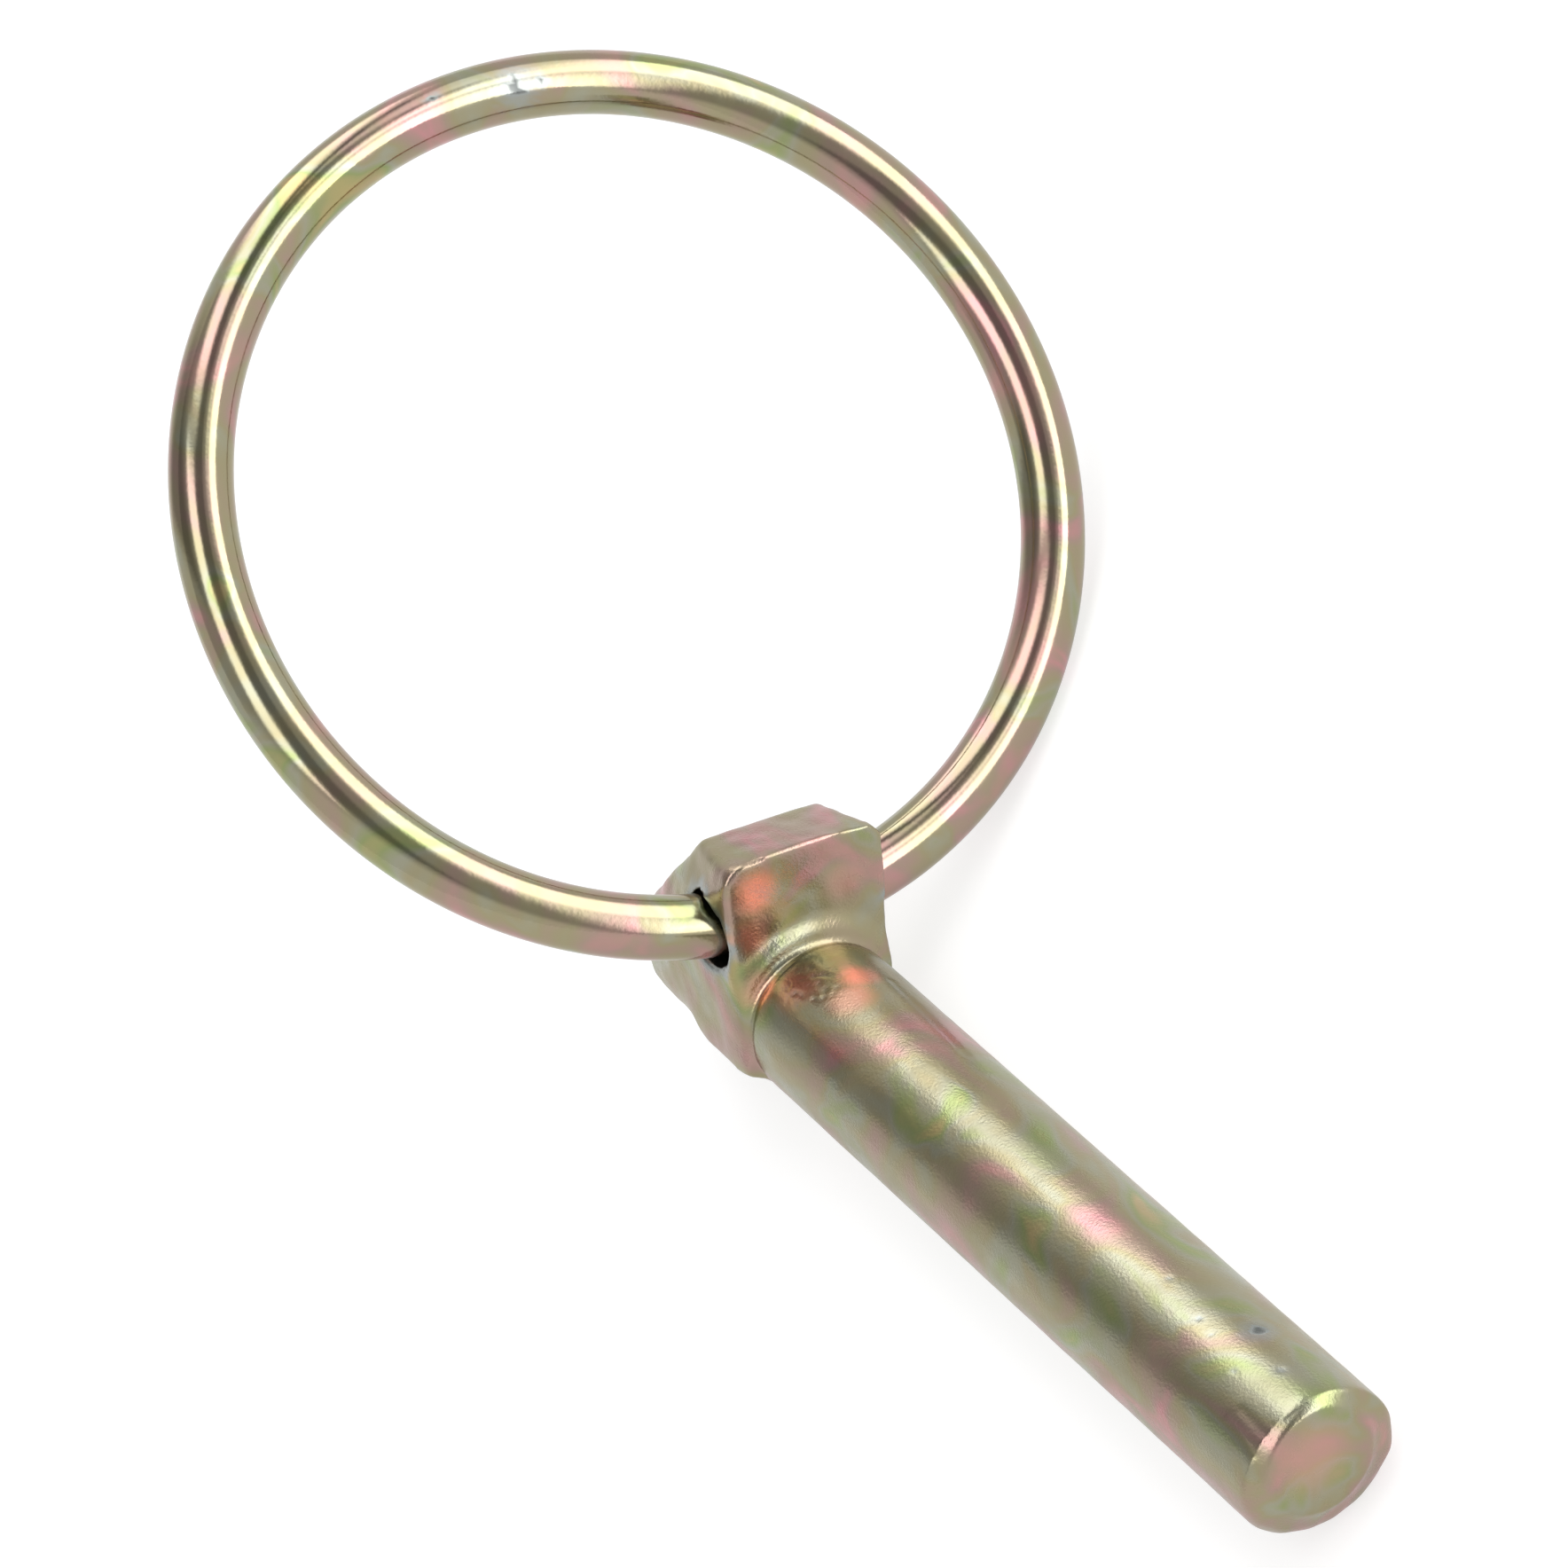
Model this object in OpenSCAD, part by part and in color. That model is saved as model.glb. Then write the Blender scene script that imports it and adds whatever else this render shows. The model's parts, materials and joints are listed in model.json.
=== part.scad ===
// Lynch pin with a sprung wire ring.
// The pin is one forging: a round shank, a collar and an offset lug. The wire
// ring turns in a cross hole through the lug. Both are made on the shank's own
// axis (x to the tip, y across, z up through the lug), and are then laid down
// on the tip, the collar and one side of the ring, as they rest on a table.

/* [Shank] */
// Diameter of the round shank
shank_d = 10; // [8:0.5:12]
// Length of the shank, from the front of the collar to the end face
shank_len = 59; // [40:1:90]
// Diameter of the flat end face
tip_face_d = 7.6; // [4:0.1:7.8]
// Length of the lead-in chamfer at the tip
tip_chamfer = 1.2; // [0.5:0.1:3]

/* [Collar] */
// Diameter of the collar at the root of the shank
collar_d = 12.6; // [12:0.1:14]
// Length of the collar
collar_len = 4.5; // [3:0.5:6]
// Radius of the collar's rounded front edge
collar_edge = 1.5; // [0.5:0.1:2]
// Length over which the collar runs down to the lug's foot, behind it
collar_run = 4; // [2:0.5:6]

/* [Lug] */
// Distance of the lug's shoulder behind the front of the collar
lug_back = 0.55; // [0.2:0.05:0.6]
// Width of the lug at its top
lug_w = 11; // [10.6:0.1:12]
// Draft angle of the lug's sides
lug_draft = 1; // [0:0.5:2]
// Height of the lug's crown above the shank's axis
lug_top = 11.8; // [11:0.1:15]
// Radius of the crown across the top of the lug
crown_r = 38; // [25:1:80]
// Length of the lug behind the front of the collar
lug_len = 15.6; // [14:0.1:20]
// Length of the lug's top
top_len = 6; // [5:0.1:8]
// Angle at which the lug's top falls towards the back
top_fall = 9; // [0:1:15]
// Diameter of the lug's round foot
foot_d = 10.3; // [10:0.1:10.6]
// Depth of the collar's lower corners below the shank's axis
cheek_low = 3.1; // [2:0.1:4]
// Height of the lug's back end above the shank's axis
back_top = 0.8; // [0:0.1:3]
// Depth of the lug's back end below the shank's axis
back_low = 2.2; // [1:0.1:4]
// Width of the lug at its back end
back_w = 8; // [6:0.1:9]
// Angle at which the lug's top corners lean in
corner_lean = 16; // [8:1:20]
// Angle at which the lug's top corners close in towards the back
corner_taper = 13; // [5:1:18]

/* [Cross hole] */
// Distance of the hole's axis behind the front of the collar
hole_back = 3.75; // [3.7:0.05:4.5]
// Height of the hole's axis above the shank's axis
hole_up = 5.95; // [5.8:0.05:7]
// Room around the wire in the hole
hole_gap = 0.45; // [0.45:0.05:0.6]

/* [Ring] */
// Diameter of the wire
wire_d = 4; // [3:0.1:4.2]
// Inside diameter of the ring
ring_bore = 50; // [40:1:70]
// Distance between the ends of the wire, inside the hole
end_gap = 3; // [2:0.5:5]
// How far the wire's arc passes outside the hole's axis
arc_bow = 0.4; // [0.3:0.05:0.4]
// How far the ring has slipped to one side in the hole
ring_slip = 0.7; // [0:0.1:0.7]
// Angle by which the plane of the ring leans in the hole
ring_lean = 2; // [0:0.5:2]
// Angle of the ring from closed flat on the shank
ring_open = 132; // [100:1:150]

/* [Hidden] */
$fn = 96;

shank_r = shank_d / 2;
collar_r = collar_d / 2;
foot_r = foot_d / 2;
lug_half = lug_w / 2;
wire_r = wire_d / 2;
hole_r = wire_r + hole_gap;
ring_r = ring_bore / 2 + wire_r;
ring_mid = ring_r - arc_bow;      // from the hole's axis to the ring's centre
edge_cut = 0.8;                   // chamfer along the lug's top edges
low_slope = 1.2;                  // fall of the lower corners to the middle
over = 40;                        // reach of the cutting shapes past the lug

// The ring, in the pin's axes
hinge = [-hole_back, 0, hole_up];
out = [cos(ring_open), 0, sin(ring_open)];
square_to = [-out[2], 0, out[0]];
across = [0, cos(ring_lean), 0] - sin(ring_lean) * square_to;
ring_axis = cross(out, across);
ring_centre = hinge + ring_mid * out + ring_slip * across;

// How far the ring reaches from the pin's origin along a unit vector
function ring_reach(v) = ring_centre * v + wire_r
    + ring_r * sqrt(max(0, 1 - pow(ring_axis * v, 2)));

// The collar's lower corner, which meets the table: its place in the section,
// and its station on the collar's rounded front edge
cheek_half = half_at(-cheek_low);
cheek_r = min(norm([cheek_half, cheek_low]), collar_r);
cheek_turn = atan(cheek_half / cheek_low);
cheek_rise = max(0, cheek_r - collar_r + collar_edge);
cheek_at = sqrt(pow(collar_edge, 2) - pow(cheek_rise, 2)) - collar_edge;
function cheek_reach(r) = cheek_r * cos(cheek_turn - r);

// The pitch that brings the tip and that corner down to the table together
tip_at = shank_len - tip_chamfer;
function pitch_at(r) = atan((cheek_reach(r) - shank_r) / (tip_at - cheek_at));
function table_at(r) = tip_at * sin(pitch_at(r)) + shank_r * cos(pitch_at(r));
function down(r) = let (p = pitch_at(r))
    [sin(p), cos(p) * sin(r), -cos(p) * cos(r)];

// The roll that brings the side of the ring down to the same table
function find_roll(low, high, steps) = let (mid = (low + high) / 2)
    steps == 0 ? mid
    : ring_reach(down(mid)) < table_at(mid) ? find_roll(mid, high, steps - 1)
    : find_roll(low, mid, steps - 1);
roll = find_roll(0, 90, 30);
pitch = pitch_at(roll);

// The middle of the part as it lies, in plan
east = [cos(pitch), -sin(pitch) * sin(roll), sin(pitch) * cos(roll)];
north = [0, cos(roll), sin(roll)];
tip_reach = shank_len * cos(pitch) + tip_face_d / 2 * sin(pitch);
mid_x = (tip_reach - ring_reach(-east)) / 2;
mid_y = (ring_reach(north) - max(ring_reach(-north), collar_r)) / 2;

// Lays a piece made on the pin's axes down on the table
module laid() {
    translate([-mid_x, -mid_y, table_at(roll)])
        rotate([-roll, pitch, 0])
            children();
}

// Turns the z axis of a round shape to the tip, from a station on the shank
module on_shank(station) {
    translate([station, 0, 0]) rotate([0, 90, 0]) children();
}

module shank() {
    on_shank(-collar_len)
        cylinder(r = shank_r, h = collar_len + shank_len - tip_chamfer);
    on_shank(shank_len - tip_chamfer)
        cylinder(r1 = shank_r, r2 = tip_face_d / 2, h = tip_chamfer);
}

// A disc with a rounded front edge, and a cone behind it down to the foot
module disc() {
    inner = collar_r - collar_edge;
    on_shank(0) rotate_extrude() {
        translate([0, -collar_len]) square([inner, collar_len]);
        translate([0, -collar_len]) square([collar_r, collar_len - collar_edge]);
        translate([inner, -collar_edge]) circle(r = collar_edge);
    }
    on_shank(-collar_len - collar_run)
        cylinder(r1 = foot_r, r2 = collar_r, h = collar_run);
}

// The lug from the side: a shoulder, a back slope and a foot that rises
module side_outline() {
    top_back = lug_top - top_len * tan(top_fall);
    slope = (lug_len - top_len) / (top_back - back_top);
    sky = lug_top + 1;
    polygon([
        [-lug_back, -foot_r],
        [-lug_back, sky],
        [-top_len + (sky - top_back) * slope, sky],
        [-lug_len, back_top],
        [-lug_len, -back_low],
        [-collar_len - collar_run, -foot_r]
    ]);
}

// Half the head's width at a height, on its drafted sides
function half_at(height) = lug_half - (lug_top - height) * tan(lug_draft);

// The head from the tip: drafted sides, chamfered top corners, and lower
// corners at a height, which slope in to the round foot
module front_outline(low) {
    corner = lug_top - crown_r + sqrt(pow(crown_r, 2) - pow(lug_half, 2));
    circle(r = foot_r);
    for (side = [0, 1]) mirror([side, 0]) polygon([
        [0, low - low_slope],
        [half_at(low), low],
        [half_at(corner - edge_cut), corner - edge_cut],
        [half_at(corner) - edge_cut, corner],
        [half_at(corner) - edge_cut, lug_top + 1],
        [0, lug_top + 1]
    ]);
}

// The lug from above: parallel as far as the collar, then closing in
module plan_outline() {
    polygon([
        [0, -lug_half], [0, lug_half],
        [-collar_len - collar_run, lug_half], [-lug_len, back_w / 2],
        [-lug_len, -back_w / 2], [-collar_len - collar_run, -lug_half]
    ]);
}

// The space beyond one leaning top corner of the lug
module corner_space() {
    translate([0, lug_half, lug_top - 1])
        rotate([corner_lean, 0, corner_taper])
            translate([-over, 0, -over]) cube([2 * over, over, 2 * over]);
}

module head_block(low) {
    rotate([90, 0, 90])
        linear_extrude(height = 2 * over, center = true) front_outline(low);
}

// The collar, trimmed to the sides of the head
module collar() {
    intersection() {
        disc();
        head_block(-cheek_low);
    }
}

module lug() {
    difference() {
        intersection() {
            rotate([90, 0, 0])
                linear_extrude(height = 2 * over, center = true) side_outline();
            head_block(0);
            linear_extrude(height = 2 * over, center = true) plan_outline();
            translate([0, 0, lug_top]) rotate([0, -top_fall, 0])
                translate([0, 0, -crown_r]) on_shank(-over)
                    cylinder(r = crown_r, h = 2 * over, $fn = 240);
        }
        corner_space();
        mirror([0, 1, 0]) corner_space();
    }
}

module pin() {
    color("#a8a067") laid() difference() {
        union() {
            shank();
            collar();
            lug();
        }
        translate(hinge) rotate([90, 0, 0])
            cylinder(r = hole_r, h = 2 * over, center = true);
    }
}

// An open hoop of wire, with both ends inside the cross hole
module ring() {
    left_end = 180 + asin((end_gap / 2 + ring_slip) / ring_r);
    right_end = 180 - asin((end_gap / 2 - ring_slip) / ring_r);
    color("#b9b47a") laid() translate(hinge)
        rotate([0, -ring_open, 0]) rotate([-ring_lean, 0, 0])
            translate([ring_mid, ring_slip, 0]) rotate([0, 0, left_end])
                rotate_extrude(angle = 360 - left_end + right_end)
                    translate([ring_r, 0]) circle(r = wire_r, $fn = 48);
}

pin();
ring();
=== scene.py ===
import json
import math

import bmesh
import bpy
from mathutils import Matrix, Vector, noise


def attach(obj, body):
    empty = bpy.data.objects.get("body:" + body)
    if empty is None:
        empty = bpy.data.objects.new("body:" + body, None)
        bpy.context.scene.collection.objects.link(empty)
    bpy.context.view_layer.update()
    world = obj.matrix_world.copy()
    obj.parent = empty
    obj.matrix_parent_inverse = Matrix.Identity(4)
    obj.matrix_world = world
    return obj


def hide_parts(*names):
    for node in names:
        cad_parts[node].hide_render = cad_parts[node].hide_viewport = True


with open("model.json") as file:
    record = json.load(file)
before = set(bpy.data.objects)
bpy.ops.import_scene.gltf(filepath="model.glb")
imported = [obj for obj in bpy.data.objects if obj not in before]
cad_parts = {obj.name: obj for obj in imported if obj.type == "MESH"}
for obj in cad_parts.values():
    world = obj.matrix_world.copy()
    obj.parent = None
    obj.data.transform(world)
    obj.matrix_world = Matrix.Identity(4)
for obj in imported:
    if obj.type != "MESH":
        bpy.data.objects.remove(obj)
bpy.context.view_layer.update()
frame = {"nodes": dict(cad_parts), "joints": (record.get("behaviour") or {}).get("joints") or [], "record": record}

# ---------------------------------------------------------------- how it lies
# The pin lies on its tip, its collar and one side of its ring. Both pieces are
# shaped on the pin's own axes: x along the shank to the tip, y across it and
# z up through the lug, from the shank's axis at the front of the collar.
MM = 0.001
shank = frame["record"]["mounts"][0]
swing = frame["joints"][0]
along = Vector(shank["axis"]).normalized()
across = -Vector(swing["axis"]).normalized()
upward = along.cross(across)
root = Vector(shank["pos_m"]) - along * shank["dims"]["length_mm"] / 2 * MM
lay_down = Matrix.Translation(root) @ Matrix((along, across, upward)).transposed().to_4x4()
stand_up = lay_down.inverted()
hinge = stand_up @ Vector(swing["pos_m"])

# ------------------------------------------------------------- the forged pin
# A head forged on the end of a round steel bar, drilled across the lug and
# plated with yellow zinc. Forging leaves its corners soft and its faces a
# little uneven, and cropping leaves the tip's face off the shank's centre.
SHANK_R = shank["dims"]["r_mm"] * MM
SHANK_END = shank["dims"]["length_mm"] * MM
SKIN = 0.2 * MM                 # spacing of the forging's even mesh
TIP_LEN = 1.2 * MM              # length of the chamfer at the tip
CROP_LIP = 0.5 * MM             # how far the full section runs on at the tip
CROP_ROLL = 1.3 * MM            # how much sooner the other side rolls over
CROP_SHIFT = Vector((0, -0.45, 1.0)) * MM
CROP_SHRINK = 0.10              # share by which the end face is smaller
BEAD = 0.3 * MM                 # how far the collar's round bead stands up
BEAD_R = 5.75 * MM
BEAD_WIDTH = 0.6 * MM
NECK = 0.14 * MM                # depth of the undercut in front of the bead
NECK_PLACE = 0.4 * MM
NECK_WIDTH = 0.32 * MM
LUMP = 0.11 * MM                # unevenness of the head
BAR_SHARE = 0.16                # the shank's unevenness, to the head's
HOLE_R = 2.48 * MM              # kept clear of lumps, for the wire to turn
MOUTH_R = 3.5 * MM              # how far the plate is scraped off around it
# Nicks left by handling: station and turn on the shank, radius and strength
NICKS = ((51.0, 84, 0.75, 0.78), (47.8, 108, 0.35, 0.35), (49.5, 110, 0.3, 0.3),
         (55.1, 96, 0.45, 0.3), (53.0, 118, 0.25, 0.25), (43.6, 101, 0.3, 0.25))
NICK_DEPTH = 0.12               # as a share of the nick's radius
# Shallow lines left by the die: from one station and turn to another
DIE_LINES = ((5.8, 65, 16.1, 73), (55.0, 143, 60, 154), (55.5, 133, 60, 136))
LINE_DEPTH = 0.05 * MM
LINE_WIDTH = 0.28 * MM
# Where the plate has a copper blush: place on the pin's axes, radius, strength
BLUSHES = ((-0.5, -3.4, 9.5, 1.9, 1.0), (-0.4, -4.3, 6.4, 1.7, 0.8),
           (4.9, 0.4, 5.0, 1.6, 1.0), (2.6, -2.6, 4.3, 2.2, 0.7),
           (6.7, -1.1, 4.9, 2.0, 0.6), (0.4, -3.9, 3.2, 1.6, 0.7),
           (-0.5, 2.6, 8.2, 1.6, 0.3), (59.2, -0.9, 1.4, 2.9, 0.35))
# A patch that was pitted by furnace scale, on the shank by the collar
SCALE_PLACE = Vector((3.4, -1.9, 4.6)) * MM
SCALE_R = 2.6 * MM
PIT_DEPTH = 0.12 * MM


def new_piece(name, shape):
    """Makes a bmesh on the pin's axes into an object, laid down."""
    shape.transform(lay_down)
    mesh = bpy.data.meshes.new(name)
    shape.to_mesh(mesh)
    shape.free()
    mesh.shade_smooth()
    piece = bpy.data.objects.new(name, mesh)
    bpy.context.collection.objects.link(piece)
    return piece


def smoothstep(low, high, value):
    t = min(max((value - low) / (high - low), 0), 1)
    return t * t * (3 - 2 * t)


def even_skin(shape, spacing):
    """Gives a bmesh one even skin, as a voxel remesh."""
    mesh = bpy.data.meshes.new("skin")
    shape.to_mesh(mesh)
    shape.free()
    form = bpy.data.objects.new("skin", mesh)
    bpy.context.collection.objects.link(form)
    remesh = form.modifiers.new("even", "REMESH")
    remesh.mode = "VOXEL"
    remesh.voxel_size = spacing
    bpy.context.view_layer.update()
    ready = form.evaluated_get(bpy.context.evaluated_depsgraph_get())
    evened = bmesh.new()
    evened.from_mesh(ready.to_mesh())
    bpy.data.objects.remove(form)
    bpy.data.meshes.remove(mesh)
    return evened


def soften(shape, verts, times):
    for _ in range(times):
        bmesh.ops.smooth_vert(shape, verts=verts, factor=0.5,
                              use_axis_x=True, use_axis_y=True, use_axis_z=True)


forging = bmesh.new()
forging.from_mesh(frame["nodes"]["pin"].data)
bmesh.ops.remove_doubles(forging, verts=forging.verts, dist=1e-6)
forging.transform(stand_up)
forging = even_skin(forging, SKIN)
soften(forging, forging.verts, 5)


def around(vert):
    return math.hypot(vert.co.y, vert.co.z)


def on_corner(vert):
    """Whether a place is on one of the head's upper front corners."""
    return vert.co.z > 3 * MM and abs(vert.co.y) > 4.2 * MM


# Fillets: where the collar rises out of the shoulder, down one side edge of
# the shoulder, and over the cheeks, the back end and the crown
root_fillet = [v for v in forging.verts
               if -1.6 * MM < v.co.x < 0.4 * MM and around(v) < 8 * MM
               and not on_corner(v)]
soften(forging, root_fillet, 8)
side_edge = [v for v in forging.verts if -2 * MM < v.co.x < 0 and v.co.y < -4.2 * MM]
soften(forging, side_edge, 14)
cheeks = [v for v in forging.verts if v.co.x < -1.6 * MM and v.co.z < 2.4 * MM]
soften(forging, cheeks, 24)
back_end = [v for v in forging.verts if v.co.x < -7 * MM]
soften(forging, back_end, 16)
crown = [v for v in forging.verts if v.co.x < -1.6 * MM and v.co.z > 8.6 * MM]
soften(forging, crown, 12)
forging.normal_update()


def on_shank(station, turn):
    """A place on the shank's surface, on the pin's axes."""
    return Vector((station * MM, SHANK_R * math.cos(math.radians(turn)),
                   SHANK_R * math.sin(math.radians(turn))))


def line_distance(place, start, end):
    span = end - start
    share = min(max((place - start).dot(span) / span.length_squared, 0), 1)
    return (place - start - span * share).length


nicks = [(on_shank(*nick[:2]), nick[2] * MM, nick[3]) for nick in NICKS]
die_lines = [(on_shank(*line[:2]), on_shank(*line[2:])) for line in DIE_LINES]
bare = forging.verts.layers.float.new("worn")
blush = forging.verts.layers.float.new("blush")
for v in forging.verts:
    # The shank is the bar itself, so it is truly round
    drawn = smoothstep(0.8 * MM, 1.8 * MM, v.co.x)
    drawn -= smoothstep(SHANK_END - 0.9 * MM, SHANK_END - 0.3 * MM, v.co.x)
    round_up = SHANK_R / around(v) if drawn > 0 else 1
    stretch = 1 + (round_up - 1) * drawn
    v.co.y *= stretch
    v.co.z *= stretch
    # The collar's round bead, in front of the shoulder
    if v.co.x < 1 * MM and v.normal.x > 0.1:
        rise = (around(v) - BEAD_R) / BEAD_WIDTH
        v.co.x += BEAD * math.exp(-rise * rise) * min(v.normal.x * 2, 1)
    # The neck: a slight undercut where the shank leaves the collar
    neck = (v.co.x - NECK_PLACE) / NECK_WIDTH
    if abs(neck) < 3:
        v.co -= v.normal * NECK * math.exp(-neck * neck)
    # The cropped end: full on one side, rolled over on the other
    if v.co.x > SHANK_END - 4 * MM:
        below = (0.5 - 0.5 * v.co.z / max(around(v), SKIN)) ** 1.5
        ragged = 0.25 * MM * noise.noise(v.co / (1.6 * MM))
        full = smoothstep(SHANK_END - 2 * MM, SHANK_END, v.co.x)
        start = SHANK_END - 0.2 * MM - CROP_ROLL * below + ragged
        crop = smoothstep(start, SHANK_END + TIP_LEN, v.co.x)
        shrink = 1 - CROP_SHRINK
        face = Vector((v.co.x, v.co.y * shrink, v.co.z * shrink))
        v.co = v.co.lerp(face + CROP_SHIFT, crop)
        v.co.x += CROP_LIP * full * (1 - crop) * (1 - below)
    # Forged faces are a little uneven, and the head more than the bar
    head = 1 - smoothstep(-0.6 * MM, 0.4 * MM, v.co.x)
    swell = noise.noise(v.co / (3.2 * MM)) + 0.5 * noise.noise(v.co / (1.3 * MM))
    v.co += v.normal * LUMP * swell * (BAR_SHARE + (1 - BAR_SHARE) * head)
    for start, end in die_lines:
        aside = line_distance(v.co, start, end) / LINE_WIDTH
        if aside < 3:
            v.co -= v.normal * LINE_DEPTH * math.exp(-aside * aside)
    for place, size, strength in nicks:
        away = (v.co - place).length / size + 0.25 * noise.noise(v.co / (0.3 * MM))
        if away < 2.2:
            v.co -= v.normal * NICK_DEPTH * size * (1 - smoothstep(0.2, 0.8, away))
            v[bare] = max(v[bare], 0.3 * strength * (1 - smoothstep(0.9, 2.1, away)),
                          strength * (1 - smoothstep(0.35, 0.85, away)))
    # The scale's pits
    scaly = (v.co - SCALE_PLACE).length / SCALE_R
    if scaly < 1 and v.co.x > 0.6 * MM:
        fade = 1 - smoothstep(0.6, 1, scaly)
        pits = max(noise.noise(v.co / (0.45 * MM)) - 0.1, 0)
        v.co -= v.normal * PIT_DEPTH * pits * fade
        v[bare] = max(v[bare], 0.3 * pits * fade)
    for x, y, z, size, strength in BLUSHES:
        away = (v.co - Vector((x, y, z)) * MM).length / (size * MM)
        v[blush] = max(v[blush], strength * (1 - smoothstep(0.25, 1.1, away)))
    # The drilled hole stays round, with room for the wire
    off = math.hypot(v.co.x - hinge.x, v.co.z - hinge.z)
    if off < HOLE_R + 0.3 * MM and abs(v.normal.y) < 0.7:
        widen = max(HOLE_R / off, 1)
        v.co.x = hinge.x + (v.co.x - hinge.x) * widen
        v.co.z = hinge.z + (v.co.z - hinge.z) * widen
    # The plate is scraped off around the mouths of the cross hole, most towards
    # the tip, and the hole's wall is bare steel
    ragged = 0.5 * MM * noise.noise(v.co / (0.9 * MM))
    mouth = 1 - smoothstep(2.6 * MM, MOUTH_R, off + ragged)
    lean = smoothstep(hinge.x - 1.5 * MM, hinge.x + 1.5 * MM, v.co.x)
    side = max(smoothstep(4.2 * MM, 4.9 * MM, abs(v.co.y)),
               1 - smoothstep(2.4 * MM, 2.7 * MM, off))
    wall = 1 - smoothstep(HOLE_R, HOLE_R + 0.25 * MM, off)
    v[bare] = max(v[bare], mouth * side * (0.35 + 0.3 * lean), 0.45 * wall)
pin = new_piece("forged_pin", forging)


# Yellow zinc plate: a film whose colour drifts with its thickness, through
# olive, green, mauve and gold, over a fine grain.
OLIVE = (0.37, 0.33, 0.20, 1)
GREEN = (0.30, 0.36, 0.15, 1)
GREY_GREEN = (0.37, 0.37, 0.28, 1)
MAUVE = (0.42, 0.29, 0.25, 1)
PINK = (0.57, 0.28, 0.29, 1)
GOLD = (0.52, 0.40, 0.19, 1)
COPPER = (0.76, 0.38, 0.30, 1)
PALE_STEEL = (0.36, 0.38, 0.36, 1)
DARK_STEEL = (0.07, 0.075, 0.075, 1)


def add_node(tree, kind, place, **settings):
    made = tree.nodes.new(kind)
    made.location = place
    for name, value in settings.items():
        setattr(made, name, value)
    return made


def add_noise(tree, place, vector, **values):
    """A noise texture on a vector; values are its inputs by name."""
    made = add_node(tree, "ShaderNodeTexNoise", place)
    for name, value in values.items():
        made.inputs[name].default_value = value
    tree.links.new(vector, made.inputs["Vector"])
    return made


def remap(tree, place, source, start, end, kind="LINEAR"):
    """Maps a value from one range to another; returns the mapped value."""
    made = add_node(tree, "ShaderNodeMapRange", place, interpolation_type=kind)
    made.inputs["From Min"].default_value, made.inputs["From Max"].default_value = start
    made.inputs["To Min"].default_value, made.inputs["To Max"].default_value = end
    tree.links.new(source, made.inputs["Value"])
    return made.outputs["Result"]


def make_group(name, inputs, outputs):
    """A node group with named sockets: (name, socket type, default)."""
    tree = bpy.data.node_groups.new(name, "ShaderNodeTree")
    for label, kind, default in inputs:
        socket = tree.interface.new_socket(label, in_out="INPUT", socket_type=kind)
        if default is not None:
            socket.default_value = default
    for label, kind in outputs:
        tree.interface.new_socket(label, in_out="OUTPUT", socket_type=kind)
    start = add_node(tree, "NodeGroupInput", (-900, 0))
    end = add_node(tree, "NodeGroupOutput", (900, 0))
    return tree, start, end


film, film_in, film_out = make_group(
    "zinc_film",
    [("Vector", "NodeSocketVector", None), ("Patch", "NodeSocketFloat", 160.0)],
    [("Color", "NodeSocketColor"), ("Cloud", "NodeSocketFloat")])
drift = add_noise(film, (-600, 200), film_in.outputs["Vector"],
                  Detail=2.5, Roughness=0.45, Distortion=0.7)
film.links.new(film_in.outputs["Patch"], drift.inputs["Scale"])
order = add_node(film, "ShaderNodeValToRGB", (-350, 200))
stops = [(0.27, GOLD), (0.35, GREEN), (0.42, GREY_GREEN), (0.48, OLIVE),
         (0.57, MAUVE), (0.65, PINK), (0.72, MAUVE), (0.79, GREEN)]
order.color_ramp.elements[0].position = stops[0][0]
order.color_ramp.elements[0].color = stops[0][1]
order.color_ramp.elements[1].position = stops[-1][0]
order.color_ramp.elements[1].color = stops[-1][1]
for thickness, colour in stops[1:-1]:
    order.color_ramp.elements.new(thickness).color = colour
film.links.new(drift.outputs["Fac"], order.inputs["Fac"])
cloud = add_noise(film, (-600, -200), film_in.outputs["Vector"], Scale=420, Detail=3)
share = remap(film, (-250, -100), cloud.outputs["Fac"], (0.35, 0.75), (0.05, 0.58))
calm = add_node(film, "ShaderNodeMix", (0, 100), data_type="RGBA")
calm.inputs["B"].default_value = OLIVE
film.links.new(share, calm.inputs["Factor"])
film.links.new(order.outputs["Color"], calm.inputs["A"])
film.links.new(calm.outputs["Result"], film_out.inputs["Color"])
film.links.new(cloud.outputs["Fac"], film_out.inputs["Cloud"])


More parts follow.
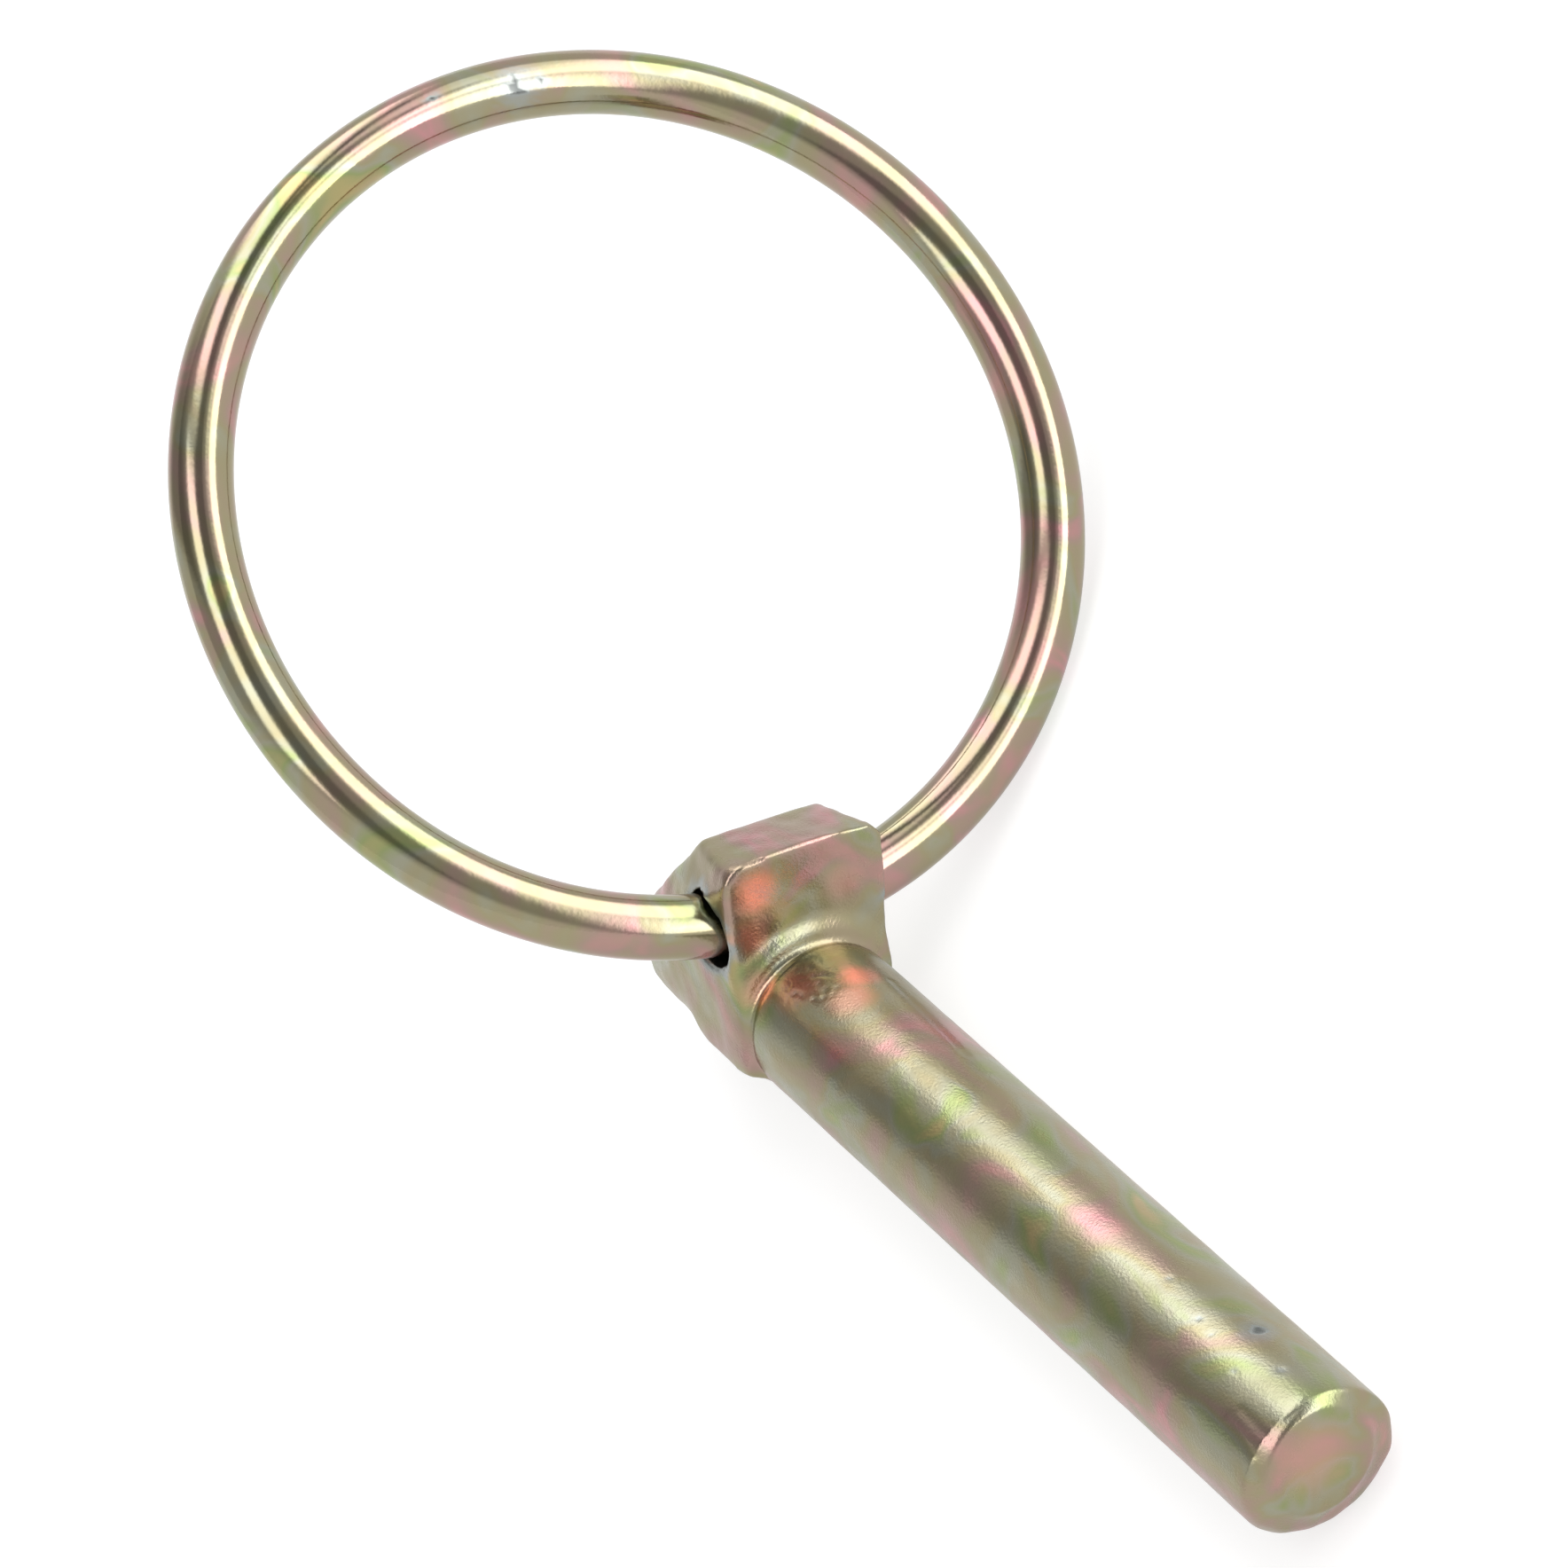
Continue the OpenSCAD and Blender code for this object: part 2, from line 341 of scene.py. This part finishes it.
def wear(tree, plate):
    """Adds a copper blush and bare steel to a plate's colour; returns the colour."""
    tint = add_node(tree, "ShaderNodeAttribute", (-850, 700), attribute_name="blush")
    warm = add_node(tree, "ShaderNodeMix", (-500, 500), data_type="RGBA")
    warm.inputs["B"].default_value = COPPER
    tree.links.new(tint.outputs["Fac"], warm.inputs["Factor"])
    tree.links.new(plate, warm.inputs["A"])
    spot = add_node(tree, "ShaderNodeAttribute", (-850, 950), attribute_name="worn")
    steel = add_node(tree, "ShaderNodeValToRGB", (-500, 800))
    steel.color_ramp.elements[0].position = 0.5
    steel.color_ramp.elements[0].color = PALE_STEEL
    steel.color_ramp.elements[1].position = 0.95
    steel.color_ramp.elements[1].color = DARK_STEEL
    tree.links.new(spot.outputs["Fac"], steel.inputs["Fac"])
    shows = remap(tree, (-500, 1100), spot.outputs["Fac"], (0, 0.4), (0, 1))
    mixed = add_node(tree, "ShaderNodeMix", (-150, 500), data_type="RGBA")
    tree.links.new(shows, mixed.inputs["Factor"])
    tree.links.new(warm.outputs["Result"], mixed.inputs["A"])
    tree.links.new(steel.outputs["Color"], mixed.inputs["B"])
    return mixed.outputs["Result"]


def plated(name, patch, grain_scale, grain_depth, smooth, rough, stretch):
    """A material of yellow zinc plate, with its wear."""
    material = bpy.data.materials.new(name)
    material.use_nodes = True
    tree = material.node_tree
    shader = tree.nodes["Principled BSDF"]
    shader.inputs["Metallic"].default_value = 1
    coord = add_node(tree, "ShaderNodeTexCoord", (-1300, 0))
    turn = add_node(tree, "ShaderNodeMapping", (-1100, 0))
    turn.inputs["Scale"].default_value = stretch
    tree.links.new(coord.outputs["Object"], turn.inputs["Vector"])
    coat = add_node(tree, "ShaderNodeGroup", (-850, 150), node_tree=film)
    coat.inputs["Patch"].default_value = patch
    tree.links.new(turn.outputs["Vector"], coat.inputs["Vector"])
    grain = add_noise(tree, (-850, -250), coord.outputs["Object"],
                      Scale=grain_scale, Detail=4)
    bump = add_node(tree, "ShaderNodeBump", (-300, -300))
    bump.inputs["Strength"].default_value = 1
    bump.inputs["Distance"].default_value = grain_depth
    tree.links.new(grain.outputs["Fac"], bump.inputs["Height"])
    tree.links.new(bump.outputs["Normal"], shader.inputs["Normal"])
    gloss = remap(tree, (-300, 0), coat.outputs["Cloud"], (0.3, 0.7), (smooth, rough))
    tree.links.new(gloss, shader.inputs["Roughness"])
    tree.links.new(wear(tree, coat.outputs["Color"]), shader.inputs["Base Color"])
    return material


pin.data.materials.append(plated(
    "satin_yellow_zinc", patch=190, grain_scale=5200, grain_depth=0.02 * MM,
    smooth=0.19, rough=0.33, stretch=(0.6, 1, 1)))
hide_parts("pin")
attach(pin, "pin")

# -------------------------------------------------------------- the wire ring
# Round spring wire, coiled into an open hoop and sprung into the cross hole
# from both sides. Its ends are cropped square, with their edges rubbed off.
# Its sizes are those of the ring in the frame.
WIRE_R = 2 * MM
RING_R = 27 * MM                # from the ring's centre to the wire's centre
RING_MID = 26.6 * MM            # from the hinge to the ring's centre
RING_SLIP = 0.7 * MM            # how far it has slipped to one side in the hole
RING_LEAN = math.radians(2)
RING_OPEN = math.radians(132)   # from closed flat on the shank
END_GAP = 3 * MM                # between the wire's ends, inside the hole
WIRE_SIDES = 48
RING_STEPS = 400
# Marks where rings touched in the bath: turn on the ring, turn on the wire, radius
RING_NICKS = ((5.2, 258, 0.85), (8.4, 261, 0.32), (-6.5, 285, 0.16),
              (-7.6, 283, 0.12), (-5.6, 288, 0.1))
CROP_BEVEL = 0.3 * MM           # how far the edges of the ends are rubbed off

left_end = math.pi + math.asin((END_GAP / 2 + RING_SLIP) / RING_R)
right_end = math.pi - math.asin((END_GAP / 2 - RING_SLIP) / RING_R)
hoop = bmesh.new()
bmesh.ops.create_circle(hoop, cap_ends=False, segments=WIRE_SIDES, radius=WIRE_R,
                        matrix=Matrix.Rotation(math.pi / 2, 4, "X"))
bmesh.ops.translate(hoop, verts=hoop.verts, vec=(RING_R, 0, 0))
bmesh.ops.rotate(hoop, verts=hoop.verts, cent=(0, 0, 0),
                 matrix=Matrix.Rotation(left_end, 3, "Z"))
start_rim = list(hoop.edges)
swept = bmesh.ops.spin(hoop, geom=hoop.verts[:] + hoop.edges[:], cent=(0, 0, 0),
                       axis=(0, 0, 1), steps=RING_STEPS,
                       angle=2 * math.pi - left_end + right_end)
end_rim = [e for e in swept["geom_last"] if isinstance(e, bmesh.types.BMEdge)]
crops = bmesh.ops.edgeloop_fill(hoop, edges=start_rim)["faces"]
crops += bmesh.ops.edgeloop_fill(hoop, edges=end_rim)["faces"]
bmesh.ops.bevel(hoop, geom=[e for f in crops for e in f.edges], offset=CROP_BEVEL,
                offset_type="OFFSET", affect="EDGES", segments=2, profile=0.5,
                material=-1)
bmesh.ops.recalc_face_normals(hoop, faces=hoop.faces)
ring_nicks = []
for turn, twist, size in RING_NICKS:
    reach = RING_R + WIRE_R * math.cos(math.radians(twist))
    ring_nicks.append((Vector((reach * math.cos(math.radians(turn)),
                               reach * math.sin(math.radians(turn)),
                               WIRE_R * math.sin(math.radians(twist)))), size * MM))
bare = hoop.verts.layers.float.new("worn")
hoop.verts.layers.float.new("blush")
for v in hoop.verts:
    for place, size in ring_nicks:
        away = (v.co - place).length / size + 0.7 * noise.noise(v.co / (0.35 * MM))
        if away < 2.4:
            v[bare] = max(v[bare], 0.32 * (1 - smoothstep(0.9, 2.3, away)),
                          0.9 - 0.9 * smoothstep(0.3, 0.9, away))
hoop.transform(Matrix.Translation(hinge)
               @ Matrix.Rotation(-RING_OPEN, 4, "Y")
               @ Matrix.Rotation(-RING_LEAN, 4, "X")
               @ Matrix.Translation((RING_MID, RING_SLIP, 0)))
ring = new_piece("wire_ring", hoop)

ring.data.materials.append(plated(
    "bright_yellow_zinc", patch=170, grain_scale=3000, grain_depth=0.004 * MM,
    smooth=0.08, rough=0.17, stretch=(1, 1, 1)))
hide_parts("ring")
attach(ring, "ring")

# ------------------------------------------------------------------ the floor
# A pale sweep that the part lies on. It stays white all over, and keeps the
# part's own soft shadow.
sweep_shape = bmesh.new()
bmesh.ops.create_grid(sweep_shape, x_segments=1, y_segments=1, size=3)
sweep_mesh = bpy.data.meshes.new("sweep")
sweep_shape.to_mesh(sweep_mesh)
sweep_shape.free()
sweep = bpy.data.objects.new("sweep", sweep_mesh)
bpy.context.collection.objects.link(sweep)
paper = bpy.data.materials.new("white_paper")
paper.use_nodes = True
tree = paper.node_tree
tree.nodes.remove(tree.nodes["Principled BSDF"])
plain = add_node(tree, "ShaderNodeBsdfDiffuse", (-400, 0))
plain.inputs["Color"].default_value = (0.8, 0.8, 0.8, 1)
lifted = add_node(tree, "ShaderNodeBsdfDiffuse", (-400, -150))
lifted.inputs["Color"].default_value = (0.45, 0.45, 0.45, 1)
shine = add_node(tree, "ShaderNodeEmission", (-400, -300))
both = add_node(tree, "ShaderNodeAddShader", (-200, -200))
rays = add_node(tree, "ShaderNodeLightPath", (-800, 300))
seen = add_node(tree, "ShaderNodeMath", (-600, 300), operation="MAXIMUM")
shown = add_node(tree, "ShaderNodeMath", (-400, 300), operation="MAXIMUM")
pick = add_node(tree, "ShaderNodeMixShader", (0, 0))
lift = remap(tree, (-600, -300), rays.outputs["Is Camera Ray"], (0, 1), (0.45, 0.66))
tree.links.new(lift, shine.inputs["Strength"])
tree.links.new(rays.outputs["Is Camera Ray"], seen.inputs[0])
tree.links.new(rays.outputs["Is Glossy Ray"], seen.inputs[1])
tree.links.new(seen.outputs[0], shown.inputs[0])
tree.links.new(rays.outputs["Is Transmission Ray"], shown.inputs[1])
tree.links.new(shown.outputs[0], pick.inputs[0])
tree.links.new(lifted.outputs[0], both.inputs[0])
tree.links.new(shine.outputs[0], both.inputs[1])
tree.links.new(plain.outputs[0], pick.inputs[1])
tree.links.new(both.outputs[0], pick.inputs[2])
tree.links.new(pick.outputs[0], tree.nodes["Material Output"].inputs["Surface"])
sweep.data.materials.append(paper)

# ----------------------------------------------------------------- the camera
# A long lens, looking down on the part from beyond its tip. It is rolled, so
# the shank runs down to the right.
CAMERA_PLACE = (0.40637, 0.01265, 0.34757)
CAMERA_TURN = (37.001, 39.06, 52.867)
lens = bpy.data.cameras.new("camera")
lens.lens = 203.6
lens.sensor_width = 36
lens.clip_start = 0.01
lens.clip_end = 20
camera = bpy.data.objects.new("camera", lens)
bpy.context.collection.objects.link(camera)
camera.location = CAMERA_PLACE
camera.rotation_euler = [math.radians(angle) for angle in CAMERA_TURN]
bpy.context.scene.camera = camera
bpy.context.scene.view_settings.view_transform = "Standard"

# ------------------------------------------------------------------ the light
# A room that is dim where the camera stands, with large soft boxes around the
# part. Each box is a window of light, in directions fixed on the camera's axes.
room = bpy.data.worlds.new("room")
bpy.context.scene.world = room
room.use_nodes = True
tree = room.node_tree
facing = camera.rotation_euler.to_matrix()
where = add_node(tree, "ShaderNodeTexCoord", (-1500, 0))


def along_view(axis, row):
    """How far a direction in the room points along a camera axis."""
    dot = add_node(tree, "ShaderNodeVectorMath", (-1300, row), operation="DOT_PRODUCT")
    dot.inputs[1].default_value = facing.col[axis]
    tree.links.new(where.outputs["Generated"], dot.inputs[0])
    return dot.outputs["Value"]


right, above, behind = (along_view(axis, -200 * axis) for axis in range(3))


def ramp(source, low, high, dark, bright):
    """A smooth change from one value to another along a direction."""
    return remap(tree, (-1000, 0), source, (low, high), (dark, bright), "SMOOTHSTEP")


def join(first, second, operation):
    made = add_node(tree, "ShaderNodeMath", (-700, 0), operation=operation)
    tree.links.new(first, made.inputs[0])
    tree.links.new(second, made.inputs[1])
    return made.outputs[0]


def window(spans, strength, edge):
    """A soft box: strength inside every span of (source, low, high)."""
    whole = add_node(tree, "ShaderNodeValue", (-1000, 200))
    whole.outputs[0].default_value = strength
    inside = whole.outputs[0]
    for source, low, high in spans:
        if low > -1:
            inside = join(inside, ramp(source, low - edge, low + edge, 0, 1), "MULTIPLY")
        if high < 1:
            inside = join(inside, ramp(source, high - edge, high + edge, 1, 0), "MULTIPLY")
    return inside


# The room's own light: pale beyond the part and low down, dim on the camera's
# side, and darker at the far left
beyond = ramp(behind, 0.0, 0.2, 0.78, 0.0)
low_down = ramp(above, -0.58, -0.30, 0.85, 0.48)
far_left = join(ramp(right, -0.92, -0.70, 0.45, 1.0),
                ramp(above, -0.05, 0.20, 1.0, 0.0), "MAXIMUM")
light = join(join(beyond, low_down, "MAXIMUM"), far_left, "MULTIPLY")
DARK_CARD = ([(right, -0.26, 0.14), (above, -0.30, 1), (behind, 0.0, 1)], -0.24, 0.07)
BIG_BOX = ([(right, 0.50, 1), (above, -0.36, 0.55), (behind, 0.06, 1)], 3.4, 0.08)
UPPER_BOX = ([(right, 0.32, 1), (above, 0.55, 1), (behind, 0.02, 1)], 2.9, 0.08)
LEFT_STRIP = ([(right, -0.70, -0.34), (above, -0.36, 0.50), (behind, 0.02, 1)], 2.2, 0.07)
TOP_STRIP = ([(right, -0.60, -0.18), (above, 0.62, 1), (behind, -0.30, 1)], 2.2, 0.08)
TOP_SPOT = ([(right, -0.02, 0.34), (above, 0.86, 1), (behind, 0.02, 1)], 1.3, 0.06)
for spans, strength, edge in (DARK_CARD, BIG_BOX, UPPER_BOX, LEFT_STRIP, TOP_STRIP, TOP_SPOT):
    light = join(light, window(spans, strength, edge), "ADD")
tree.links.new(light, tree.nodes["Background"].inputs["Color"])
